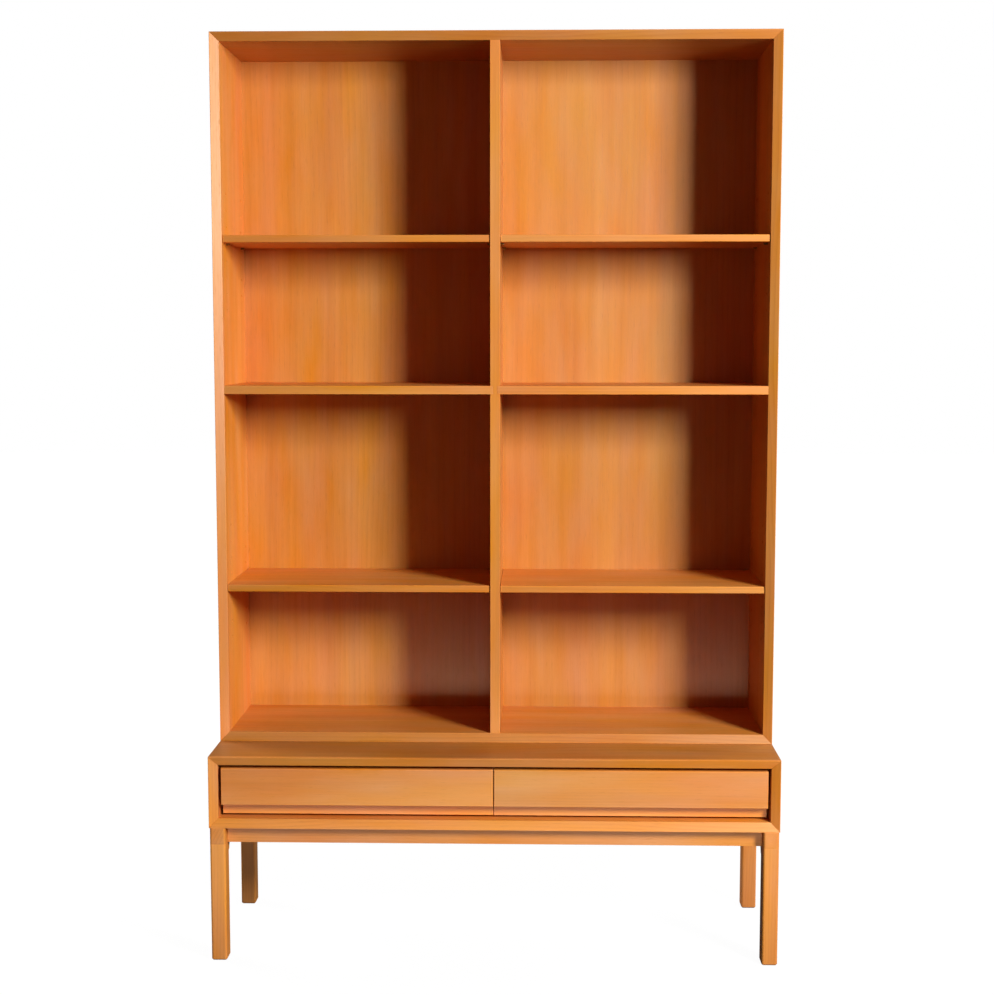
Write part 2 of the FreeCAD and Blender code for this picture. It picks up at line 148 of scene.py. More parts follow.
# How much streaks, slow tone and fibres darken the wood
TONE_PARTS = {"streak": 0.36, "slow": 0.42, "fibre": 0.20}

# Annual rings: how far they lean and wander, and how their early wood sets in and falls off
RING_LEAN = 0.35
RING_WANDER = 0.11
LATE_WOOD_SHARE = 0.25
RING_FALLOFF = 1.6

# Pores outside the early wood, as a share of those in it
LATE_PORE_SHARE = 0.25

# What ageing does to the colour: the noise that drives it, how far it swings, and the value without it
AGEING = {"Hue": ("blush", 0.03, 0.5), "Saturation": ("bleach", -0.20, 1.0)}

# How pores and fibres roughen the surface, how high the fibres stand, and how strongly the relief shows
PORE_ROUGHNESS = 0.25
FIBRE_ROUGHNESS = 0.08
FIBRE_HEIGHT = 0.25
RELIEF_STRENGTH = 0.35
RELIEF_DEPTH = 0.0002

# Worn arrises: the noise that breaks them up, and how much lighter and smoother they are
WEAR_SCALE = 55.0
WEAR_DETAIL = 3.0
WEAR_PATCHINESS = 2.0
WEAR_LIGHTENING = 0.10
WEAR_POLISH = 0.08

# Metal: scale and detail of its grime and of its turning marks, and how the grime shows
GRIME_NOISE = (260.0, 4.0)
GRIME_RANGE = (0.35, 0.7)
GRIME_DARKENING = 0.7
MARKS_SQUEEZE = 9.0
MARKS_NOISE = (900.0, 2.0)

# Roughness of each metal, and how much its turning marks add
BRASS_ROUGHNESS = 0.34
BRASS_MARKS = 0.15
STEEL_ROUGHNESS = 0.28
STEEL_MARKS = 0.2

# Points closer than this in metres are one
MERGE_DISTANCE = 0.00001

# Angles in degrees: faces under the first are merged, edges under the second are shaded smooth,
# and edges over the other two are softened
FLAT_ANGLE = 1
SMOOTH_ANGLE = 35
BOARD_STEEPNESS = 50
STAND_STEEPNESS = 30

# How many strips a softened arris has, and how many sides a turned piece
ARRIS_SEGMENTS = 2
TURNED_SIDES = 24

# A face points down where the Z of its normal is under this
DOWNWARD = -0.9

# Screws: the head beside its hole, the shank beside the head, the taper of shank and tip, and the recess
HEAD_FIT = 0.97
SHANK_SHARE = 0.5
TIP_SHARE = 0.2
SHANK_NARROWING = 0.96
TIP_NARROWING = 0.3
RECESS_LENGTH_SHARE = 0.62

# Shelf pins: the dome's height beside the pin's width, the collar's width, and the dome's two steps
DOME_SHARE = 0.2
COLLAR_WIDENING = 1.22
DOME_STEPS = ((0.7, 0.86), (0.3, 0.55))

# Directions in which screws and pins point
TOWARDS_FRONT = Vector((0, -1, 0))
UPWARDS = Vector((0, 0, 1))
SIDEWAYS = Vector((1, 0, 0))

# The floor: its size, its paint as lamps and as the camera see it, and the glow that the camera sees
FLOOR_SIZE = 30
FLOOR_ROUGHNESS = 0.9
FLOOR_PAINT_UNSEEN = (0.05, 0.05, 0.05, 1)
FLOOR_PAINT_SEEN = (0.4, 0.4, 0.4, 1)
GLOW_SHARE = 0.90
GLOW_NEAR = 1.08
GLOW_ADDED_FAR = 0.05
GLOW_DISTANCES = (0.9, 1.8)

# The world's strength in gloss and for all other light
WORLD_IN_GLOSS = 0.10
WORLD_FILL = 0.012

# Lamps: place, target, width and height in metres, power in watts and spread in degrees
LAMPS = {
    "key": ((2.19, -2.42, 1.99), (0.0, -0.1, 1.0), 0.75, 0.95, 152, 180),
    "low_fill": ((-0.3, -1.9, 0.16), (-0.3, -0.2, 0.22), 2.2, 0.3, 0.95, 24),
    "rear_left": ((-3.2, 1.4, 1.8), (0, 0.1, 1.0), 1.6, 1.6, 90, 180),
    "rear_right": ((3.2, 1.6, 1.8), (0, 0.1, 1.0), 1.6, 1.6, 70, 180),
    "rear_top": ((0.3, 1.8, 3.8), (0, 0.1, 1.6), 1.4, 1.4, 26, 180),
}

# The camera: its place and how far it sees in metres, its turn and tilt in radians, and its lens from the
# photograph's width and focal length in pixels
CAMERA_PLACE = (0.0961, -3.5753, 1.3186)
CAMERA_TURN = -0.0262
CAMERA_TILT = 0.0975
PHOTO_WIDTH_PX = 994
FOCAL_LENGTH_PX = 1644.4
SENSOR_MM = 36
SIGHT_LIMIT = 100

# Where a Mix node keeps its two colours and their blend
FIRST_COLOUR = 6
SECOND_COLOUR = 7
BLENDED_COLOUR = 2


class BookcaseSizes(bpy.types.PropertyGroup):
    """Small sizes of the finish."""

    board_arris: bpy.props.FloatProperty(
        name="Board arris", description="Softening of the boards' arrises", default=0.0007, unit="LENGTH"
    )
    leg_arris: bpy.props.FloatProperty(
        name="Leg arris", description="Softening of the stand's small arrises", default=0.0012, unit="LENGTH"
    )
    # Depth of the band at a board's front that gets its own painted light and shade
    painted_front_light_depth: bpy.props.FloatProperty(
        name="Painted front light", description="Depth of the lipping at a board's front", default=0.0092, unit="LENGTH"
    )
    wear_reach: bpy.props.FloatProperty(
        name="Wear", description="How far the wear reaches from an arris", default=0.0035, unit="LENGTH"
    )
    pin_collar: bpy.props.FloatProperty(
        name="Pin collar", description="Thickness of the flange on a shelf pin", default=0.0012, unit="LENGTH"
    )
    recess_share: bpy.props.FloatProperty(
        name="Recess", description="Width of a screw's cross recess as a share of its head", default=0.15
    )


class BookcaseColours(bpy.types.PropertyGroup):
    """Colours of the finishes."""

    oak_light: bpy.props.FloatVectorProperty(
        name="Light oak", description="Late wood of the oiled oak", subtype="COLOR", size=3,
        default=(0.80, 0.300, 0.054), min=0, max=1,
    )
    oak_dark: bpy.props.FloatVectorProperty(
        name="Dark oak", description="Early wood and streaks of the oiled oak", subtype="COLOR", size=3,
        default=(0.60, 0.196, 0.030), min=0, max=1,
    )
    veneer_light: bpy.props.FloatVectorProperty(
        name="Light veneer", description="Late wood of the oak veneer on the backs", subtype="COLOR", size=3,
        default=(0.80, 0.325, 0.064), min=0, max=1,
    )
    veneer_dark: bpy.props.FloatVectorProperty(
        name="Dark veneer", description="Early wood and streaks of the oak veneer", subtype="COLOR", size=3,
        default=(0.60, 0.215, 0.035), min=0, max=1,
    )
    pore: bpy.props.FloatVectorProperty(
        name="Pores", description="Open pores of the oak", subtype="COLOR", size=3,
        default=(0.36, 0.12, 0.02), min=0, max=1,
    )
    pale_light: bpy.props.FloatVectorProperty(
        name="Light box wood", description="Pale hardwood of the drawer boxes", subtype="COLOR", size=3,
        default=(0.70, 0.48, 0.25), min=0, max=1,
    )
    pale_dark: bpy.props.FloatVectorProperty(
        name="Dark box wood", description="Streaks of the pale hardwood", subtype="COLOR", size=3,
        default=(0.55, 0.35, 0.16), min=0, max=1,
    )
    pin_brass: bpy.props.FloatVectorProperty(
        name="Brass", description="Brass of the shelf pins", subtype="COLOR", size=3,
        default=(0.42, 0.27, 0.10), min=0, max=1,
    )
    screw_steel: bpy.props.FloatVectorProperty(
        name="Steel", description="Steel of the screws", subtype="COLOR", size=3,
        default=(0.56, 0.55, 0.52), min=0, max=1,
    )


def feed(tree, value, socket):
    """Links an output to an input socket, or sets the input to a number or a colour."""
    if isinstance(value, bpy.types.NodeSocket):
        tree.links.new(value, socket)
    else:
        socket.default_value = value


def add_node(tree, kind, place, **values):
    """A shader node at a place in the editor, with its settings."""
    node = tree.nodes.new(kind)
    node.location = place
    for name, value in values.items():
        setattr(node, name, value)
    return node


def maths(tree, operation, first, second, place):
    """A Math node whose inputs are sockets or numbers."""
    node = add_node(tree, "ShaderNodeMath", place, operation=operation)
    feed(tree, first, node.inputs[0])
    if second is not None:
        feed(tree, second, node.inputs[1])
    return node.outputs[0]


def vector_maths(tree, operation, first, second, place):
    """A Vector Math node whose inputs are sockets or vectors."""
    node = add_node(tree, "ShaderNodeVectorMath", place, operation=operation)
    feed(tree, first, node.inputs[0])
    feed(tree, second, node.inputs[1])
    return node.outputs[0]


def split(tree, vector, place):
    """The X, Y and Z of a vector, as outputs."""
    node = add_node(tree, "ShaderNodeSeparateXYZ", place)
    feed(tree, vector, node.inputs[0])
    return node.outputs


def stretched(tree, vector, squeeze, place):
    """The pattern's place, drawn out along the grain."""
    return vector_maths(tree, "MULTIPLY", vector, (1, 1, squeeze), place)


def noise(tree, vector, scale, detail, place):
    """A noise between 0 and 1."""
    node = add_node(tree, "ShaderNodeTexNoise", place)
    feed(tree, vector, node.inputs["Vector"])
    feed(tree, scale, node.inputs["Scale"])
    feed(tree, detail, node.inputs["Detail"])
    return node.outputs["Fac"]


def blend_colours(tree, share, first, second, place, way="MIX"):
    """Two colours blended by a share."""
    node = add_node(tree, "ShaderNodeMix", place, data_type="RGBA", blend_type=way)
    feed(tree, share, node.inputs["Factor"])
    feed(tree, first, node.inputs[FIRST_COLOUR])
    feed(tree, second, node.inputs[SECOND_COLOUR])
    return node.outputs[BLENDED_COLOUR]


def spread(tree, value, low, high, place):
    """Clamps a value's range between two limits to 0 and 1."""
    node = add_node(tree, "ShaderNodeMapRange", place)
    feed(tree, value, node.inputs["Value"])
    feed(tree, low, node.inputs["From Min"])
    feed(tree, high, node.inputs["From Max"])
    return node.outputs["Result"]


def new_group(name, inputs, outputs):
    """A shader node group's tree, with the sockets that it is given and those of its result."""
    tree = bpy.data.node_groups.new(name, "ShaderNodeTree")
    for label, kind in inputs.items():
        tree.interface.new_socket(label, in_out="INPUT", socket_type=kind)
    for label, kind in outputs.items():
        tree.interface.new_socket(label, in_out="OUTPUT", socket_type=kind)
    given = add_node(tree, "NodeGroupInput", (-1500, 0))
    result = add_node(tree, "NodeGroupOutput", (1300, 0))
    return tree, given.outputs, result.inputs


def figure_noise(tree, place, name, row):
    """One of the noises of the wood's figure, in its row of the editor."""
    squeeze, scale, detail = FIGURE_NOISES[name]
    return noise(tree, stretched(tree, place, squeeze, (-1200, row)), scale, detail, (-1000, row))


def early_wood(tree, given):
    """The early wood of the annual rings, from 0 to 1."""
    wander = figure_noise(tree, given["Vector"], "wander", 100)
    axes = split(tree, given["Vector"], (-1200, -150))
    leaning = maths(tree, "MULTIPLY", axes["Y"], RING_LEAN, (-1000, -150))
    across = maths(tree, "ADD", axes["X"], leaning, (-850, -150))
    swing = maths(tree, "MULTIPLY", wander, RING_WANDER, (-850, 0))
    radius = maths(tree, "ADD", across, swing, (-700, -100))
    turns = maths(tree, "DIVIDE", radius, given["Ring Spacing"], (-550, -100))
    fraction = maths(tree, "FRACT", turns, None, (-400, -100))
    early = spread(tree, fraction, LATE_WOOD_SHARE, 1.0, (-250, -100))
    return maths(tree, "POWER", early, RING_FALLOFF, (-100, -100))


def open_pores(tree, given, early):
    """The open pores, most of them in the early wood."""
    scattered = figure_noise(tree, given["Vector"], "pore", -700)
    mask = spread(tree, scattered, *SHOWN_RANGES["pore"], (-700, -700))
    in_early = maths(tree, "MULTIPLY", early, 1 - LATE_PORE_SHARE, (0, -250))
    share = maths(tree, "ADD", in_early, LATE_PORE_SHARE, (150, -250))
    return maths(tree, "MULTIPLY", mask, share, (300, -400))


def wood_tone(tree, given, early, fibre):
    """Where the wood lies between its light and its dark colour."""
    fading = figure_noise(tree, given["Vector"], "fading", 500)
    clear = spread(tree, fading, *SHOWN_RANGES["fading"], (-700, 500))
    ring_share = maths(tree, "MULTIPLY", clear, early, (-50, 50))
    tone = maths(tree, "MULTIPLY", ring_share, given["Ring Strength"], (50, 0))
    streak = figure_noise(tree, given["Vector"], "streak", -550)
    slow = figure_noise(tree, given["Vector"], "slow", 300)
    column = 250
    for name, value, row in (("streak", streak, -550), ("slow", slow, 300), ("fibre", fibre, -400)):
        shown = spread(tree, value, *SHOWN_RANGES[name], (-700, row))
        part = maths(tree, "MULTIPLY", shown, TONE_PARTS[name], (column - 150, row))
        tone = maths(tree, "ADD", tone, part, (column, 100))
        column += 150
    return tone


def aged(tree, given, colour):
    """The colour with slow patches that are turned a little in hue, or a little faded."""
    node = add_node(tree, "ShaderNodeHueSaturation", (1050, 350))
    row = 700
    for label, (name, swing, middle) in AGEING.items():
        patches = figure_noise(tree, given["Vector"], name, row)
        away = maths(tree, "SUBTRACT", patches, NOISE_MIDDLE, (-800, row))
        shift = maths(tree, "MULTIPLY", away, swing, (-650, row))
        feed(tree, maths(tree, "ADD", shift, middle, (-500, row)), node.inputs[label])
        row += 200
    feed(tree, colour, node.inputs["Color"])
    return node.outputs["Color"]


def wood_grain_group():
    """Annual rings, fibres, pores and slow tone, for a board whose grain follows the pattern's Z."""
    name = "wood_grain"
    if name in bpy.data.node_groups:
        return bpy.data.node_groups[name]
    inputs = {
        "Vector": "NodeSocketVector",
        "Light": "NodeSocketColor",
        "Dark": "NodeSocketColor",
        "Pore": "NodeSocketColor",
        "Ring Spacing": "NodeSocketFloat",
        "Ring Strength": "NodeSocketFloat",
        "Pore Strength": "NodeSocketFloat",
        "Base Roughness": "NodeSocketFloat",
    }
    outputs = {"Color": "NodeSocketColor", "Roughness": "NodeSocketFloat", "Height": "NodeSocketFloat"}
    tree, given, result = new_group(name, inputs, outputs)
    early = early_wood(tree, given)
    fibre = figure_noise(tree, given["Vector"], "fibre", -400)
    pores = open_pores(tree, given, early)

    tone = wood_tone(tree, given, early, fibre)
    wood = blend_colours(tree, tone, given["Light"], given["Dark"], (700, 150))
    pore_part = maths(tree, "MULTIPLY", pores, given["Pore Strength"], (550, -300))
    colour = blend_colours(tree, pore_part, wood, given["Pore"], (880, 150))
    feed(tree, aged(tree, given, colour), result["Color"])

    pore_rough = maths(tree, "MULTIPLY", pores, PORE_ROUGHNESS, (700, -300))
    fibre_rough = maths(tree, "MULTIPLY", fibre, FIBRE_ROUGHNESS, (700, -450))
    added = maths(tree, "ADD", pore_rough, fibre_rough, (850, -300))
    feed(tree, maths(tree, "ADD", added, given["Base Roughness"], (980, -250)), result["Roughness"])

    lifted = maths(tree, "MULTIPLY", fibre, FIBRE_HEIGHT, (700, -600))
    feed(tree, maths(tree, "SUBTRACT", lifted, pores, (850, -600)), result["Height"])
    return tree


def arris_wear_group():
    """How near a point is to an arris of its board, broken up as handling wears it."""
    name = "arris_wear"
    if name in bpy.data.node_groups:
        return bpy.data.node_groups[name]
    inputs = {
        "Vector": "NodeSocketVector",
        "Low Corner": "NodeSocketVector",
        "High Corner": "NodeSocketVector",
        "Reach": "NodeSocketFloat",
    }
    tree, given, result = new_group(name, inputs, {"Wear": "NodeSocketFloat"})
    above = vector_maths(tree, "SUBTRACT", given["Vector"], given["Low Corner"], (-950, 150))
    below = vector_maths(tree, "SUBTRACT", given["High Corner"], given["Vector"], (-950, -50))
    axes = split(tree, vector_maths(tree, "MINIMUM", above, below, (-750, 50)), (-550, 50))
    shorter = maths(tree, "MINIMUM", axes["X"], axes["Y"], (-350, 150))
    longer = maths(tree, "MAXIMUM", axes["X"], axes["Y"], (-350, 0))
    between = maths(tree, "MINIMUM", longer, axes["Z"], (-150, 0))
    to_arris = maths(tree, "MAXIMUM", shorter, between, (50, 100))
    patches = noise(tree, given["Vector"], WEAR_SCALE, WEAR_DETAIL, (-350, -250))
    patchy = maths(tree, "MULTIPLY", patches, WEAR_PATCHINESS, (-100, -250))
    limit = maths(tree, "MULTIPLY", patchy, given["Reach"], (50, -200))
    share = maths(tree, "DIVIDE", to_arris, limit, (250, 50))
    fading = maths(tree, "SUBTRACT", 1.0, share, (450, 50))
    feed(tree, maths(tree, "MAXIMUM", fading, 0.0, (650, 50)), result["Wear"])
    return tree


def shader_material(name):
    """A new material, with its tree and its Principled shader."""
    material = bpy.data.materials.new(name)
    material.use_nodes = True
    return material, material.node_tree, material.node_tree.nodes["Principled BSDF"]


def painted_light_and_wear(tree, node, place, colour, roughness):
    """A board's colour and roughness, with painted light and shade on its faces and on the band along its
    front edge, and the polish along its arrises.
    """
    sizes = bpy.context.scene.bookcase_sizes
    low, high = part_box(node)
    # Painted light and shade: the tone of the board's faces, and that of the band along its front edge
    faces, painted_front_light = PAINTED_LIGHT_TONES.get(node, NO_PAINTED_LIGHT)
    axes = split(tree, place, (-450, 350))
    on_painted_front_light = maths(tree, "LESS_THAN", axes["Y"], low[1] + sizes.painted_front_light_depth, (-250, 350))
    group = add_node(tree, "ShaderNodeGroup", (-450, 550), node_tree=arris_wear_group())
    feed(tree, place, group.inputs["Vector"])
    feed(tree, low, group.inputs["Low Corner"])
    feed(tree, high, group.inputs["High Corner"])
    feed(tree, sizes.wear_reach, group.inputs["Reach"])
    wear = group.outputs["Wear"]
    # The painted light and shade of the front band where a point lies on it, else that of the faces
    tone = maths(tree, "MULTIPLY", on_painted_front_light, painted_front_light - faces, (-50, 350))
    tone = maths(tree, "ADD", tone, faces, (100, 350))
    lightening = maths(tree, "MULTIPLY", wear, WEAR_LIGHTENING, (100, 550))
    tone = maths(tree, "ADD", tone, lightening, (250, 400))
    painted_light_and_wear_colour = blend_colours(tree, 1, colour, tone, (420, 300), way="MULTIPLY")
    polish = maths(tree, "MULTIPLY", wear, WEAR_POLISH, (100, 750))
    return painted_light_and_wear_colour, maths(tree, "SUBTRACT", roughness, polish, (420, 600))


def toned(colour, share):
    """A colour made a little lighter or darker."""
    return tuple(channel * share for channel in colour)


def wood_colours(kind, number):
    """The light, dark and pore colours of a board's wood."""
    colours = bpy.context.scene.bookcase_colours
    if kind == "pale":
        return colours.pale_light, colours.pale_dark, colours.pale_dark
    share = 1 + TONE_SWING * math.sin(number * TONE_STEP)
    if kind == "veneer":
        return toned(colours.veneer_light, share), toned(colours.veneer_dark, share), colours.pore
    return toned(colours.oak_light, share), toned(colours.oak_dark, share), colours.pore


def wood(name, node, grain, number, kind):
    """One board's wood, with the figure turned to its grain and moved by its number."""
    material, tree, shader = shader_material(name)
    shader.location = (700, 0)
    tree.nodes["Material Output"].location = (1000, 0)
    place = add_node(tree, "ShaderNodeTexCoord", (-900, 0)).outputs["Object"]
    mapping = add_node(tree, "ShaderNodeMapping", (-700, 0))
    feed(tree, GRAIN_TURNS[grain], mapping.inputs["Rotation"])
    feed(tree, [step * number for step in FIGURE_STEP], mapping.inputs["Location"])
    feed(tree, place, mapping.inputs["Vector"])
    group = add_node(tree, "ShaderNodeGroup", (-450, 0), node_tree=wood_grain_group())
    feed(tree, mapping.outputs["Vector"], group.inputs["Vector"])
    for label, colour in zip(("Light", "Dark", "Pore"), wood_colours(kind, number)):
        feed(tree, (*colour, 1), group.inputs[label])
    for label, value in WOODS[kind].items():
        feed(tree, value, group.inputs[label])
    relief = add_node(tree, "ShaderNodeBump", (-200, -250))
    feed(tree, RELIEF_STRENGTH, relief.inputs["Strength"])
    feed(tree, RELIEF_DEPTH, relief.inputs["Distance"])
    feed(tree, group.outputs["Height"], relief.inputs["Height"])
    colour, roughness = painted_light_and_wear(tree, node, place, group.outputs["Color"], group.outputs["Roughness"])
    feed(tree, colour, shader.inputs["Base Color"])
    feed(tree, roughness, shader.inputs["Roughness"])
    feed(tree, relief.outputs["Normal"], shader.inputs["Normal"])
    return material


def metal(name, colour, roughness, marks_share):
    """Worn bright metal with fine turning marks."""
    material, tree, shader = shader_material(name)
    place = add_node(tree, "ShaderNodeTexCoord", (-900, 0)).outputs["Object"]
    grime = noise(tree, place, *GRIME_NOISE, (-650, 100))
    tone = spread(tree, grime, *GRIME_RANGE, (-400, 100))
    shade = blend_colours(tree, tone, (*colour, 1), (*toned(colour, GRIME_DARKENING), 1), (-200, 150))
    feed(tree, shade, shader.inputs["Base Color"])
    marks = noise(tree, stretched(tree, place, MARKS_SQUEEZE, (-700, -200)), *MARKS_NOISE, (-500, -200))
    marks_part = maths(tree, "MULTIPLY", marks, marks_share, (-300, -200))
    feed(tree, maths(tree, "ADD", marks_part, roughness, (-150, -150)), shader.inputs["Roughness"])
    feed(tree, 1.0, shader.inputs["Metallic"])
    return material


def only(piece):
    """Selects one object and makes it active."""
    bpy.ops.object.select_all(action="DESELECT")
    piece.select_set(True)
    bpy.context.view_layer.objects.active = piece


def finish_piece(piece, node, material):
    """Gives a piece its finish, and puts it in the place of its node."""
    piece.data.materials.clear()
    piece.data.materials.append(material)
    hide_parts(node)
    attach(piece, body_of_node[node])


def softened(node, arris, steepness):
    """A copy of a board with its arrises eased, where they are steeper than an angle in degrees."""
    piece = bpy.data.objects.new(node + "_finished", nodes[node].data.copy())
    bpy.context.scene.collection.objects.link(piece)
    only(piece)
    bpy.ops.object.mode_set(mode="EDIT")
    bpy.ops.mesh.select_all(action="SELECT")
    bpy.ops.mesh.remove_doubles(threshold=MERGE_DISTANCE)
    bpy.ops.mesh.dissolve_limited(angle_limit=math.radians(FLAT_ANGLE))
    bpy.ops.object.mode_set(mode="OBJECT")
    bevel = piece.modifiers.new("arris", "BEVEL")
    bevel.width = arris
    bevel.segments = ARRIS_SEGMENTS
    bevel.limit_method = "ANGLE"
    bevel.angle_limit = math.radians(steepness)
    bpy.ops.object.modifier_apply(modifier="arris")
    bpy.ops.object.shade_smooth_by_angle(angle=math.radians(SMOOTH_ANGLE))
    facing = piece.modifiers.new("facing", "WEIGHTED_NORMAL")
    facing.keep_sharp = True
    bpy.ops.object.modifier_apply(modifier="facing")
    return piece


def board(node, grain, number, arris, kind="oak", steepness=BOARD_STEEPNESS):
    """One wooden piece, finished. Its number moves its figure, so no two boards share one."""
    material = wood(node + "_" + kind, node, grain, number, kind)
    finish_piece(softened(node, arris, steepness), node, material)


def solid_boxes(node):
    """The low and high corners of each separate solid in a node."""
    shape = bmesh.new()
    shape.from_mesh(nodes[node].data)
    bmesh.ops.remove_doubles(shape, verts=shape.verts, dist=MERGE_DISTANCE)
    seen = set()
    boxes = []
    for start in shape.verts:
        if start in seen:
            continue
        seen.add(start)
        waiting = [start]
        found = []
        while waiting:
            vertex = waiting.pop()
            found.append(vertex.co.copy())
            for edge in vertex.link_edges:
                other = edge.other_vert(vertex)
                if other not in seen:
                    seen.add(other)
                    waiting.append(other)
        low = Vector([min(point[axis] for point in found) for axis in range(3)])
        high = Vector([max(point[axis] for point in found) for axis in range(3)])
        boxes.append((low, high))
    shape.free()
    return boxes


def copies_joined(template, name, placements):
    """One object made of copies of a template, each with its own mesh, at the given places."""
    copies = []
    for placement in placements:
        copy = bpy.data.objects.new(name, template.data.copy())
        bpy.context.scene.collection.objects.link(copy)
        copy.data.transform(placement)
        copies.append(copy)
    bpy.data.objects.remove(template)
    bpy.ops.object.select_all(action="DESELECT")
    for copy in copies:
        copy.select_set(True)
    bpy.context.view_layer.objects.active = copies[0]
    bpy.ops.object.join()
    group = bpy.context.active_object
    group.name = name
    return group


def pointing(start, direction):
    """A matrix that puts a shape made downwards from the origin at a place, along a direction."""
    turn = Vector((0, 0, -1)).rotation_difference(direction).to_matrix().to_4x4()
    return Matrix.Translation(start) @ turn


def drawn_down(piece, steps):
    """Draws a turned piece's lowest face down by each step's reach, and widens or narrows it there."""
    bpy.ops.object.mode_set(mode="EDIT")
    bpy.ops.mesh.select_mode(type="FACE")
    bpy.ops.mesh.select_all(action="DESELECT")
    shape = bmesh.from_edit_mesh(piece.data)
    shape.faces.ensure_lookup_table()
    for face in shape.faces:
        face.select = face.normal.z < DOWNWARD
    bmesh.update_edit_mesh(piece.data)
    for reach, widening in steps:
        bpy.ops.mesh.extrude_region_move(TRANSFORM_OT_translate={"value": (0, 0, -reach)})
        bpy.ops.transform.resize(value=(widening, widening, 1))
    bpy.ops.object.mode_set(mode="OBJECT")


def screw_template(head, shank, length):
    """A countersunk screw with a cross recess, made downwards from its head's face."""
    taper = (head - shank) / 2
    bpy.ops.object.select_all(action="DESELECT")
    bpy.ops.mesh.primitive_cone_add(
        vertices=TURNED_SIDES, radius1=shank / 2, radius2=head / 2, depth=taper, location=(0, 0, -taper / 2)
    )
    piece = bpy.context.active_object
    bpy.ops.object.transform_apply(location=True)
    below = length - taper
    drawn_down(piece, ((below * (1 - TIP_SHARE), SHANK_NARROWING), (below * TIP_SHARE, TIP_NARROWING)))
    recess_width = head * bpy.context.scene.bookcase_sizes.recess_share
    for turn in (0, math.pi / 2):
        bpy.ops.object.select_all(action="DESELECT")
        bpy.ops.mesh.primitive_cube_add(size=1, location=(0, 0, 0), rotation=(0, 0, turn))
        cutter = bpy.context.active_object
        cutter.scale = (head * RECESS_LENGTH_SHARE, recess_width, taper)
        only(piece)
        recess = piece.modifiers.new("recess", "BOOLEAN")
        recess.object = cutter
        recess.operation = "DIFFERENCE"
        bpy.ops.object.modifier_apply(modifier="recess")
        bpy.data.objects.remove(cutter)
    bpy.ops.object.shade_smooth_by_angle(angle=math.radians(SMOOTH_ANGLE))
    return piece


def pin_template(diameter, length, hidden):
    """A turned shelf pin with a collar and a domed end, made downwards from the end in its hole."""
    collar = bpy.context.scene.bookcase_sizes.pin_collar
    dome = diameter * DOME_SHARE
    bpy.ops.object.select_all(action="DESELECT")
    bpy.ops.mesh.primitive_cylinder_add(
        vertices=TURNED_SIDES, radius=diameter / 2, depth=hidden, location=(0, 0, -hidden / 2)
    )
    piece = bpy.context.active_object
    bpy.ops.object.transform_apply(location=True)
    straight = length - hidden - collar - dome
    steps = [(0, COLLAR_WIDENING), (collar, 1), (0, 1 / COLLAR_WIDENING), (straight, 1)]
    steps += [(dome * share, narrowing) for share, narrowing in DOME_STEPS]
    drawn_down(piece, steps)
    bpy.ops.object.shade_smooth_by_angle(angle=math.radians(SMOOTH_ANGLE))
    return piece


def runner_direction(middle):
    """Runner screws point into the wall that their runner is fixed to."""
    partition_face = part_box("base_partition")[1][0]
    side_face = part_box("base_side_right")[0][0]
    towards_outer = abs(middle.x) > (partition_face + side_face) / 2
    sign = 1 if middle.x > 0 else -1
    return SIDEWAYS * (sign if towards_outer else -sign)


def screws_for(node, direction, material):
    """Replaces a node of plain screws by ones with heads, tapers and recesses."""
    boxes = solid_boxes(node)
    axis = max(range(3), key=lambda index: abs(direction[index]))
    side = (axis + 1) % 3
    low, high = boxes[0]
    head = high[side] - low[side]
    template = screw_template(head * HEAD_FIT, head * SHANK_SHARE, high[axis] - low[axis])
    placements = []
    for low, high in boxes:
        middle = (low + high) / 2
        way = runner_direction(middle) if node == "runner_screws" else direction
        middle[axis] = low[axis] if way[axis] > 0 else high[axis]
        placements.append(pointing(middle, way))
    finish_piece(copies_joined(template, node + "_finished", placements), node, material)


class BookcaseUpperCase(bpy.types.Operator):
    """Finishes the four boards, the divider and the backs of the upper case"""

    bl_idname = "bookcase.upper_case"
    bl_label = "Upper case"

    def execute(self, context):
        arris = context.scene.bookcase_sizes.board_arris
        board("upper_side_left", GRAIN_UPRIGHT, 1, arris)
        board("upper_side_right", GRAIN_UPRIGHT, 2, arris)
        board("upper_top", GRAIN_ACROSS, 3, arris)
        board("upper_bottom", GRAIN_ACROSS, 4, arris)
        board("upper_divider", GRAIN_UPRIGHT, 5, arris)
        board("upper_back_left", GRAIN_UPRIGHT, 6, arris, "veneer")
        board("upper_back_right", GRAIN_UPRIGHT, 7, arris, "veneer")
        return {"FINISHED"}


class BookcaseShelves(bpy.types.Operator):
    """Finishes the fixed and the loose shelves"""

    bl_idname = "bookcase.shelves"
    bl_label = "Shelves"

    def execute(self, context):
        arris = context.scene.bookcase_sizes.board_arris
        for number, kind in enumerate(("fixed_shelf", "lower_shelf", "upper_shelf")):
            for step, side in enumerate(("left", "right")):
                board(kind + "_" + side, GRAIN_ACROSS, 10 + number * 2 + step, arris)
        return {"FINISHED"}


class BookcaseBaseCase(bpy.types.Operator):
    """Finishes the low case, its partition, its back and the drawer runners"""

    bl_idname = "bookcase.base_case"
    bl_label = "Base case"

    def execute(self, context):
        arris = context.scene.bookcase_sizes.board_arris
        board("base_side_left", GRAIN_UPRIGHT, 20, arris)
        board("base_side_right", GRAIN_UPRIGHT, 21, arris)
        board("base_top", GRAIN_ACROSS, 22, arris)
        board("base_bottom", GRAIN_ACROSS, 23, arris)
        board("base_partition", GRAIN_UPRIGHT, 24, arris)
        board("base_back", GRAIN_ACROSS, 25, arris, "veneer")
        for number, side in enumerate(("left", "right")):
            board(side + "_runner_outer", GRAIN_DEEP, 26 + number, arris, "pale")
            board(side + "_runner_inner", GRAIN_DEEP, 28 + number, arris, "pale")
        return {"FINISHED"}


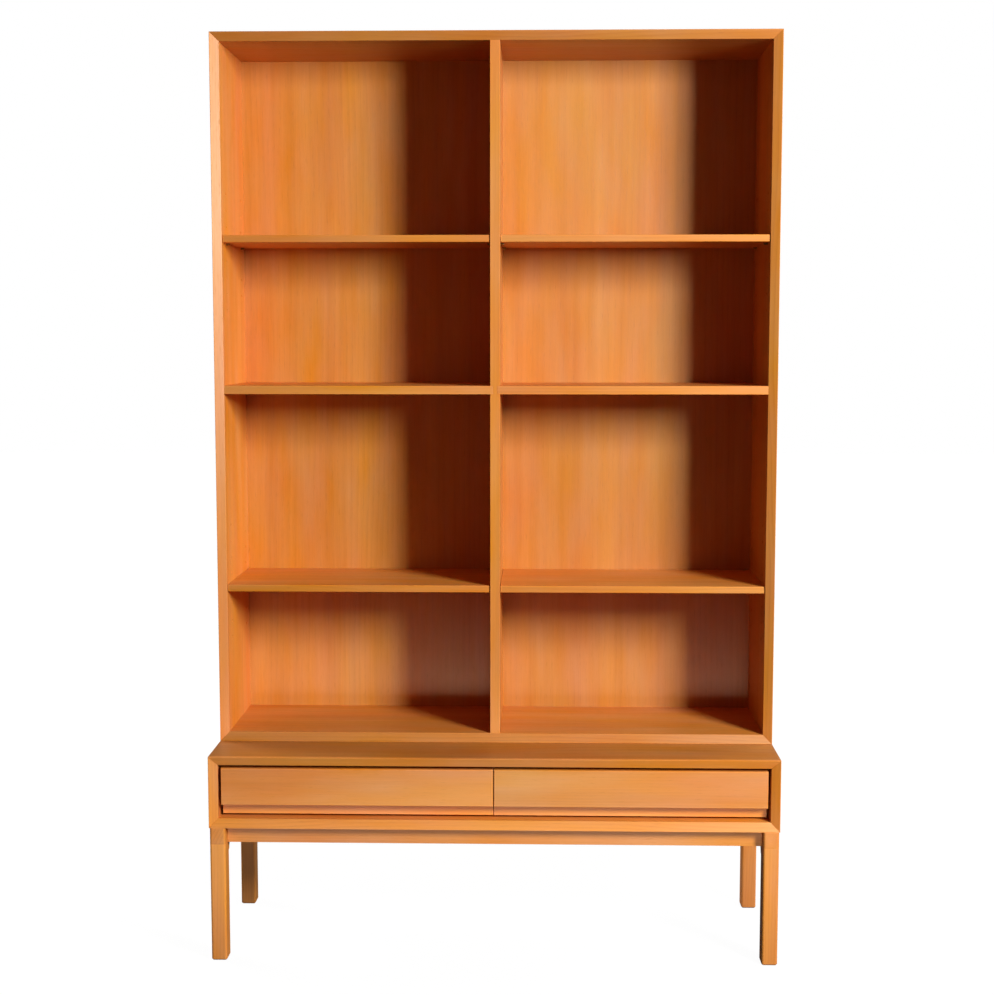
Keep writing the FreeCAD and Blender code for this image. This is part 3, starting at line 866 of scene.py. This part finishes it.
class BookcaseDrawers(bpy.types.Operator):
    """Finishes the fronts, pull rails and dovetailed boxes of the two drawers"""

    bl_idname = "bookcase.drawers"
    bl_label = "Drawers"

    def execute(self, context):
        arris = context.scene.bookcase_sizes.board_arris
        for number, side in enumerate(("left", "right")):
            first = 30 + number * 10
            name = side + "_drawer_"
            board(name + "front", GRAIN_ACROSS, first, arris)
            board(name + "pull_rail", GRAIN_ACROSS, first + 1, arris)
            board(name + "side_outer", GRAIN_DEEP, first + 2, arris / 2, "pale")
            board(name + "side_inner", GRAIN_DEEP, first + 3, arris / 2, "pale")
            board(name + "back", GRAIN_ACROSS, first + 4, arris / 2, "pale")
            board(name + "bottom", GRAIN_ACROSS, first + 5, arris / 2, "veneer")
        return {"FINISHED"}


class BookcaseStand(bpy.types.Operator):
    """Finishes the legs and the rails of the stand"""

    bl_idname = "bookcase.stand"
    bl_label = "Stand"

    def execute(self, context):
        arris = context.scene.bookcase_sizes.leg_arris
        number = 50
        for side in ("left", "right"):
            board("front_leg_" + side, GRAIN_UPRIGHT, number, arris, steepness=STAND_STEEPNESS)
            board("rear_leg_" + side, GRAIN_UPRIGHT, number + 1, arris, steepness=STAND_STEEPNESS)
            board("side_rail_" + side, GRAIN_DEEP, number + 2, arris, steepness=STAND_STEEPNESS)
            number += 3
        board("long_rail_front", GRAIN_ACROSS, number, arris)
        board("long_rail_rear", GRAIN_ACROSS, number + 1, arris)
        return {"FINISHED"}


class BookcasePins(bpy.types.Operator):
    """Turns the brass pins that carry the loose shelves"""

    bl_idname = "bookcase.pins"
    bl_label = "Shelf pins"

    def execute(self, context):
        node = "shelf_pins"
        boxes = solid_boxes(node)
        low, high = boxes[0]
        wall_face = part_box("upper_side_left")[1][0]
        hidden = min(abs(low.x - wall_face) for low, high in boxes)
        template = pin_template(high.z - low.z, high.x - low.x, hidden)
        back_low, back_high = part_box("upper_back_right")
        middle_of_bay = (back_low[0] + back_high[0]) / 2
        placements = []
        for low, high in boxes:
            middle = (low + high) / 2
            outer = abs(middle.x) > middle_of_bay
            sign = 1 if middle.x > 0 else -1
            way = SIDEWAYS * (-sign if outer else sign)
            middle.x = high.x if way.x < 0 else low.x
            placements.append(pointing(middle, way))
        pins = copies_joined(template, node + "_finished", placements)
        brass = context.scene.bookcase_colours.pin_brass
        finish_piece(pins, node, metal("pin_brass", brass, BRASS_ROUGHNESS, BRASS_MARKS))
        return {"FINISHED"}


class BookcaseScrews(bpy.types.Operator):
    """Makes the countersunk screws of the backs, runners, drawers and stand"""

    bl_idname = "bookcase.screws"
    bl_label = "Screws"

    def execute(self, context):
        steel = metal("screw_steel", context.scene.bookcase_colours.screw_steel, STEEL_ROUGHNESS, STEEL_MARKS)
        for node in ("upper_back_screws", "base_back_screws", "left_drawer_screws", "right_drawer_screws"):
            screws_for(node, TOWARDS_FRONT, steel)
        screws_for("stand_screws", UPWARDS, steel)
        screws_for("runner_screws", SIDEWAYS, steel)
        return {"FINISHED"}


class BookcaseDowels(bpy.types.Operator):
    """Gives the hidden beech dowels their finish"""

    bl_idname = "bookcase.dowels"
    bl_label = "Dowels"

    def execute(self, context):
        for number, node in enumerate(("leg_dowels", "rail_dowels", "case_dowels")):
            grain = GRAIN_ACROSS if node == "rail_dowels" else GRAIN_UPRIGHT
            nodes[node].data.materials.clear()
            nodes[node].data.materials.append(wood(node + "_beech", node, grain, 70 + number, "pale"))
        return {"FINISHED"}


def lamp(name, place, target, width, height, power, spread_degrees):
    """A rectangular soft lamp that points at a target and isn't seen itself."""
    bpy.ops.object.light_add(type="AREA", location=place)
    light = bpy.context.active_object
    light.name = name
    light.data.shape = "RECTANGLE"
    light.data.size = width
    light.data.size_y = height
    light.data.energy = power
    light.data.spread = math.radians(spread_degrees)
    light.visible_camera = False
    light.rotation_euler = (Vector(target) - light.location).to_track_quat("-Z", "Y").to_euler()


class BookcaseStage(bpy.types.Operator):
    """Sets the pale floor, the studio lamps, the world and the camera"""

    bl_idname = "bookcase.stage"
    bl_label = "Stage"

    def execute(self, context):
        self.floor()
        self.world(context)
        for name, settings in LAMPS.items():
            lamp(name, *settings)
        self.camera(context)
        context.scene.view_settings.view_transform = "Standard"
        return {"FINISHED"}

    def floor(self):
        """A pale floor that shows white and keeps the object's soft shadow."""
        bpy.ops.object.select_all(action="DESELECT")
        bpy.ops.mesh.primitive_plane_add(size=FLOOR_SIZE, location=(0, 0, 0))
        ground = bpy.context.active_object
        ground.name = "floor"
        material, tree, shader = shader_material("pale_floor")
        on_camera = add_node(tree, "ShaderNodeLightPath", (-500, 250)).outputs["Is Camera Ray"]
        paint = blend_colours(tree, on_camera, FLOOR_PAINT_UNSEEN, FLOOR_PAINT_SEEN, (-250, 0))
        feed(tree, paint, shader.inputs["Base Color"])
        feed(tree, FLOOR_ROUGHNESS, shader.inputs["Roughness"])

        place = add_node(tree, "ShaderNodeTexCoord", (-900, -250)).outputs["Object"]
        distance = add_node(tree, "ShaderNodeVectorMath", (-700, -250), operation="LENGTH")
        feed(tree, place, distance.inputs[0])
        outer = spread(tree, distance.outputs["Value"], *GLOW_DISTANCES, (-500, -250))
        brighter = maths(tree, "MULTIPLY", outer, GLOW_ADDED_FAR, (-300, -250))
        glow = add_node(tree, "ShaderNodeEmission", (0, -250))
        feed(tree, maths(tree, "ADD", brighter, GLOW_NEAR, (-150, -250)), glow.inputs["Strength"])

        mix = add_node(tree, "ShaderNodeMixShader", (400, 100))
        feed(tree, maths(tree, "MULTIPLY", on_camera, GLOW_SHARE, (0, 250)), mix.inputs["Fac"])
        feed(tree, shader.outputs["BSDF"], mix.inputs[1])
        feed(tree, glow.outputs["Emission"], mix.inputs[2])
        feed(tree, mix.outputs["Shader"], tree.nodes["Material Output"].inputs["Surface"])
        ground.data.materials.append(material)

    def world(self, context):
        """White where the camera or glass sees it, weak in gloss, and a very weak fill elsewhere."""
        world = bpy.data.worlds.new("studio")
        context.scene.world = world
        world.use_nodes = True
        tree = world.node_tree
        background = tree.nodes["Background"]
        feed(tree, (1, 1, 1, 1), background.inputs["Color"])
        rays = add_node(tree, "ShaderNodeLightPath", (-700, 0)).outputs
        seen = maths(tree, "MAXIMUM", rays["Is Camera Ray"], rays["Is Transmission Ray"], (-500, 0))
        mirrored = maths(tree, "MULTIPLY", rays["Is Glossy Ray"], WORLD_IN_GLOSS, (-500, -150))
        strength = maths(tree, "MAXIMUM", seen, mirrored, (-350, 0))
        feed(tree, maths(tree, "MAXIMUM", strength, WORLD_FILL, (-200, 0)), background.inputs["Strength"])

    def camera(self, context):
        """The camera that the photograph was taken with, as its edges give it."""
        bpy.ops.object.camera_add(location=CAMERA_PLACE)
        camera = bpy.context.active_object
        camera.data.sensor_fit = "HORIZONTAL"
        camera.data.sensor_width = SENSOR_MM
        camera.data.lens = FOCAL_LENGTH_PX / PHOTO_WIDTH_PX * SENSOR_MM
        camera.data.clip_end = SIGHT_LIMIT
        level = math.cos(CAMERA_TILT)
        way = Vector((math.sin(CAMERA_TURN) * level, math.cos(CAMERA_TURN) * level, -math.sin(CAMERA_TILT)))
        camera.rotation_euler = way.to_track_quat("-Z", "Y").to_euler()
        context.scene.camera = camera


STEPS = (
    BookcaseUpperCase,
    BookcaseShelves,
    BookcaseBaseCase,
    BookcaseDrawers,
    BookcaseStand,
    BookcasePins,
    BookcaseScrews,
    BookcaseDowels,
    BookcaseStage,
)


class BookcasePanel(bpy.types.Panel):
    """Lists the steps that finish the bookcase"""

    bl_idname = "VIEW3D_PT_bookcase"
    bl_label = "Bookcase"
    bl_space_type = "VIEW_3D"
    bl_region_type = "UI"
    bl_category = "Bookcase"

    def draw(self, context):
        for step in STEPS:
            self.layout.operator(step.bl_idname)


CLASSES = (BookcaseSizes, BookcaseColours, *STEPS, BookcasePanel)


def register():
    """Makes the steps, the panel and the user's sizes and colours known."""
    for item in CLASSES:
        bpy.utils.register_class(item)
    bpy.types.Scene.bookcase_sizes = bpy.props.PointerProperty(type=BookcaseSizes)
    bpy.types.Scene.bookcase_colours = bpy.props.PointerProperty(type=BookcaseColours)


def unregister():
    """Takes them away again, in the opposite order."""
    del bpy.types.Scene.bookcase_colours
    del bpy.types.Scene.bookcase_sizes
    for item in reversed(CLASSES):
        bpy.utils.unregister_class(item)


def main():
    """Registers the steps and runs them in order."""
    register()
    bpy.ops.bookcase.upper_case()
    bpy.ops.bookcase.shelves()
    bpy.ops.bookcase.base_case()
    bpy.ops.bookcase.drawers()
    bpy.ops.bookcase.stand()
    bpy.ops.bookcase.pins()
    bpy.ops.bookcase.screws()
    bpy.ops.bookcase.dowels()
    bpy.ops.bookcase.stage()


if __name__ == "__main__":
    main()
